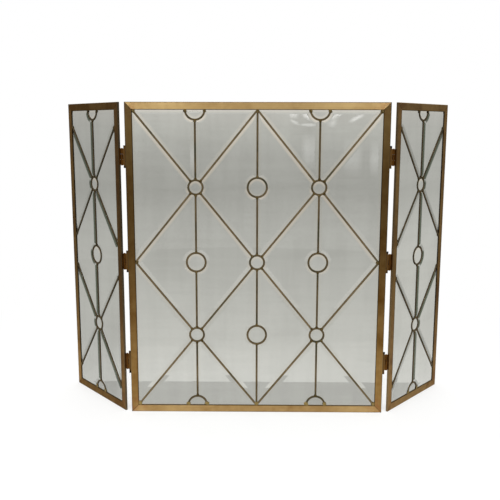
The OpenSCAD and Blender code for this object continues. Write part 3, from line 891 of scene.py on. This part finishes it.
def pickFaces(piece, wanted):  # in edit mode, the faces that look a wanted way
    bpy.ops.mesh.select_mode(type="FACE")
    bpy.ops.mesh.select_all(action="DESELECT")
    bpy.ops.object.mode_set(mode="OBJECT")
    for face in piece.data.polygons:
        face.select = wanted(face.normal)
    bpy.ops.object.mode_set(mode="EDIT")


def hideFrom(piece, *rays):
    for ray in rays:
        setattr(piece, "visible_" + ray, False)


def layFloor(s):
    bpy.ops.object.select_all(action="DESELECT")
    rim = {"vertices": s["floorCorners"], "radius": s["floorReach"]}
    bpy.ops.mesh.primitive_circle_add(**rim, fill_type="NGON")
    floor = bpy.context.object
    floor.name = "floor"
    floor.data.materials.append(floorFinish(s))
    return floor


def standCard(s):
    bpy.ops.object.select_all(action="DESELECT")
    middle = (0, s["cardBehind"] / 2, s["cardTop"] / 2 + s["cardLift"])
    bpy.ops.mesh.primitive_cube_add(size=1, location=middle)
    card = bpy.context.object
    card.name = "card"
    card.scale = (2 * s["cardHalf"], s["cardBehind"], s["cardTop"])
    bpy.ops.object.transform_apply(location=True, rotation=True, scale=True)
    bpy.ops.object.mode_set(mode="EDIT")
    pickFaces(card, lambda normal: normal.y < 0.5 and normal.z > -0.5)  # all but its back and its foot
    bpy.ops.mesh.delete(type="FACE")
    for side in ("left", "right"):  # the foot ends at the wings
        pickFaces(card, lambda normal: normal.z < -0.5)
        bpy.ops.mesh.split()
        wing = panels[side]["matrix"]
        front = wing.to_3x3() @ Vector((0, -1, 0))
        bpy.ops.mesh.bisect(plane_co=wing.to_translation(), plane_no=front, clear_outer=True)
    bpy.ops.object.mode_set(mode="OBJECT")
    card.data.materials.append(cardFinish(s))
    hideFrom(card, "camera", "diffuse", "glossy", "shadow")
    return card


floor = layFloor(stageSet)
card = standCard(stageSet)
print("floor laid and card stood")


# Glints: small glowing planes in front of the screen, seen only where its glass and metal mirror them
glintSet = {
    "away": -4.0,
    "planes": [  # place across and up, size along and across, tilt in degrees, brightness
        ((0.628, 0.826), (0.160, 0.052), 27, 4.6),
        ((0.787, 0.806), (0.160, 0.048), 28, 4.5),
        ((0.596, 0.780), (0.120, 0.100), 70, 2.8),
        ((0.286, 0.840), (0.095, 0.100), 0, 4.2),
        ((0.294, 0.775), (0.105, 0.036), -27, 3.2),
        ((0.392, 0.818), (0.120, 0.056), -30, 5.0),
        ((0.402, 0.755), (0.180, 0.036), -2, 3.6),
        ((0.414, 0.555), (0.150, 0.360), 0, 2.0),
        ((0.759, 0.510), (0.190, 0.360), 0, 1.4),
        ((0.945, 0.490), (0.140, 0.340), 0, 1.6),
    ],
    "fadeAlong": 0.4,  # how much of a plane each end fades over
    "fadeAcross": 0.5,
}


def glintFinish(name, brightness, s):
    material = bpy.data.materials.new(name)
    sheet = Sheet(material)
    u, v = sheet.parts(sheet.coordinates("UV"))[:2]
    along, across = s["fadeAlong"], s["fadeAcross"]
    fade = u.ramp(0.0, along) * u.ramp(1.0, 1.0 - along)
    fade = fade * v.ramp(0.0, across) * v.ramp(1.0, 1.0 - across)
    sheet.surface(sheet.glow(sheet.mix(fade, black, white), brightness))
    return material


def hangGlints(s):
    for number, (place, size, tilt, brightness) in enumerate(s["planes"]):
        bpy.ops.object.select_all(action="DESELECT")
        bpy.ops.mesh.primitive_plane_add(size=1)
        glint = bpy.context.object
        glint.name = "glint" + str(number)
        stood = Matrix.Rotation(math.radians(-tilt), 4, "Y") @ Matrix.Rotation(math.pi / 2, 4, "X")
        middle = Matrix.Translation((place[0], s["away"], place[1]))
        glint.matrix_world = middle @ stood @ Matrix.Diagonal((*size, 1, 1))
        bpy.ops.object.transform_apply(location=True, rotation=True, scale=True)
        glint.data.materials.append(glintFinish(glint.name, brightness, s))
        hideFrom(glint, "camera", "diffuse", "transmission", "shadow")


hangGlints(glintSet)
print("glints hung")


# Light: a room that metal and glass mirror bright above, dim at eye level and white behind the screen.
# The camera sees it plain white, also through the glass. Two soft lamps stand in front.
roomSet = {
    "above": 1.35,
    "aboveFrom": (0.12, 0.5),  # in all of these 1 is straight up, out to the side or behind
    "eyeLevel": 0.10,
    "leftSide": 0.36,
    "rightSide": 0.46,
    "sideFrom": (0.45, 0.85),
    "behindFrom": (0.75, 0.95),
}
lampSet = {
    "keyLamp": {"place": (-1.2, -2.4, 3.2), "size": 2.4, "power": 55.0},
    "fillLamp": {"place": (1.3, -2.4, 2.9), "size": 1.6, "power": 34.0},
}
lampAim = (0, 0, 0.4)


def roomLight(s):
    world = bpy.data.worlds.new("room")
    bpy.context.scene.world = world
    sheet = Sheet(world)
    x, y, z = sheet.parts(sheet.coordinates("Generated"))
    room = z.ramp(*s["aboveFrom"]) * (s["above"] - s["eyeLevel"]) + s["eyeLevel"]
    for outward, level in ((-x, s["leftSide"]), (x, s["rightSide"])):
        room = room + outward.ramp(*s["sideFrom"]) * (level - room)
    room = room + y.ramp(*s["behindFrom"]) * (1.0 - room)
    plain = sheet.ray("Is Camera Ray").most(sheet.ray("Is Transmission Ray"))
    shown = room + plain * (1.0 - room)
    background = sheet.node("Background", None, {"Color": white, "Strength": shown})
    sheet.node("OutputWorld", None, {"Surface": background})


def softLamp(name, place, size, power):
    data = bpy.data.lights.new(name, "AREA")
    data.shape = "SQUARE"
    data.size = size
    data.energy = power
    lamp = bpy.data.objects.new(name, data)
    lamp.location = place
    lamp.rotation_euler = (Vector(lampAim) - Vector(place)).to_track_quat("-Z", "Y").to_euler()
    bpy.context.scene.collection.objects.link(lamp)


roomLight(roomSet)
for name, lamp in lampSet.items():
    softLamp(name, **lamp)
bpy.context.scene.view_settings.view_transform = "Standard"
print("room and lamps lit")
